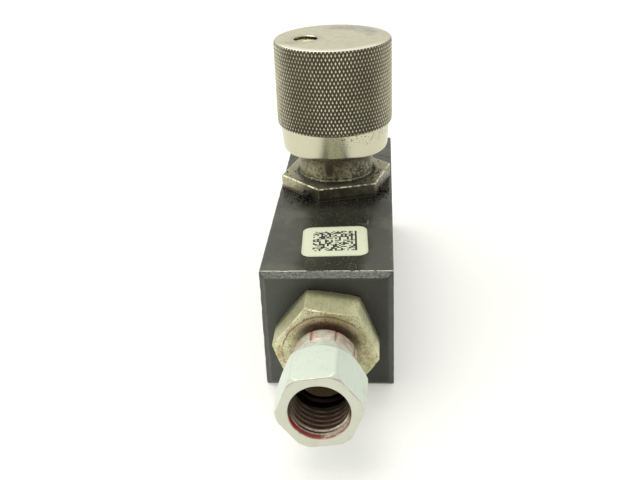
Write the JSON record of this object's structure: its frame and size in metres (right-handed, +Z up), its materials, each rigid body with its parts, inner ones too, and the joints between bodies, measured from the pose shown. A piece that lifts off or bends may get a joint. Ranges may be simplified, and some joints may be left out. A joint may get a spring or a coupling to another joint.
{
  "type": "flow control valve",
  "caption": "Inline flow control valve: square bar body, knurled adjusting knob with indicator window on a hex bonnet, and a swivel-nut adapter in the front port.",
  "frame": {"origin": "underside of the body, on the knob's axis", "axes": "+Z up along the knob's axis, +Y towards the open rear port, -Y towards the swivel nut, +X to the right seen from the swivel nut"},
  "size_m": [0.0256, 0.1017, 0.0589],
  "materials": {
    "black_finish_steel": "satin, worn at the edges",
    "bonnet_steel": "satin, oily and stained",
    "sleeve_steel": "satin, stained",
    "stem_steel": "ground",
    "knob_aluminium": "satin, knurled grip with dark grime",
    "adapter_zinc": "yellowish zinc plate",
    "nut_zinc": "bright zinc plate",
    "seal_rubber": "matte",
    "backup_plastic": "matte",
    "spring_steel": "bright wire",
    "screw_black_steel": "black oxide",
    "dial_yellow": "printed numbers",
    "lens_clear": "clear",
    "label_white": "coated label with a made-up cell pattern"
  },
  "bodies": {
    "housing": {"valve_body": "black_finish_steel", "bonnet": "bonnet_steel", "bonnet_sleeve": "sleeve_steel", "bonnet_o_ring": "seal_rubber", "stem_o_ring": "seal_rubber", "stem_backup_ring": "backup_plastic", "check_spring": "spring_steel", "front_adapter": "adapter_zinc", "asset_label": "label_white"},
    "dial_carriage": {"indicator_dial": "dial_yellow", "dial_key_pin_front": "stem_steel", "dial_key_pin_rear": "stem_steel"},
    "knob_and_stem": {"knob": "knob_aluminium", "window_lens": "lens_clear", "valve_stem": "stem_steel", "knob_drive_pin": "stem_steel", "stem_stop_ring": "spring_steel", "metering_needle": "stem_steel"},
    "lock_screw": {"lock_set_screw": "screw_black_steel"},
    "poppet": {"check_poppet": "stem_steel"},
    "nut": {"swivel_nut": "nut_zinc"}
  },
  "joints": [
    {"name": "stem_lift", "type": "slide", "parent": "housing", "child": "dial_carriage", "axis": [0, 0, 1], "range_m": [-0.00423, 0.00159]},
    {"name": "knob_turn", "type": "hinge", "parent": "dial_carriage", "child": "knob_and_stem", "pos_m": [0, 0, 0.05], "axis": [0, 0, 1], "range_deg": [-1440, 540]},
    {"name": "lock_screw_feed", "type": "slide", "parent": "knob_and_stem", "child": "lock_screw", "axis": [0, -1, 0], "range_m": [-0.001, 0.0005]},
    {"name": "check_lift", "type": "slide", "parent": "housing", "child": "poppet", "axis": [0, 0, 1], "range_m": [0, 0.0016], "stiffness_N_per_m": 300, "springref_m": -0.002, "deforming": ["check_spring"]},
    {"name": "swivel_spin", "type": "hinge", "parent": "housing", "child": "nut", "pos_m": [0, -0.0624, 0.0127], "axis": [0, -1, 0], "continuous": true}
  ],
  "couplings": [
    {"joint": "stem_lift", "follows": "knob_turn", "m_per_rad": 0.00016844}
  ]
}
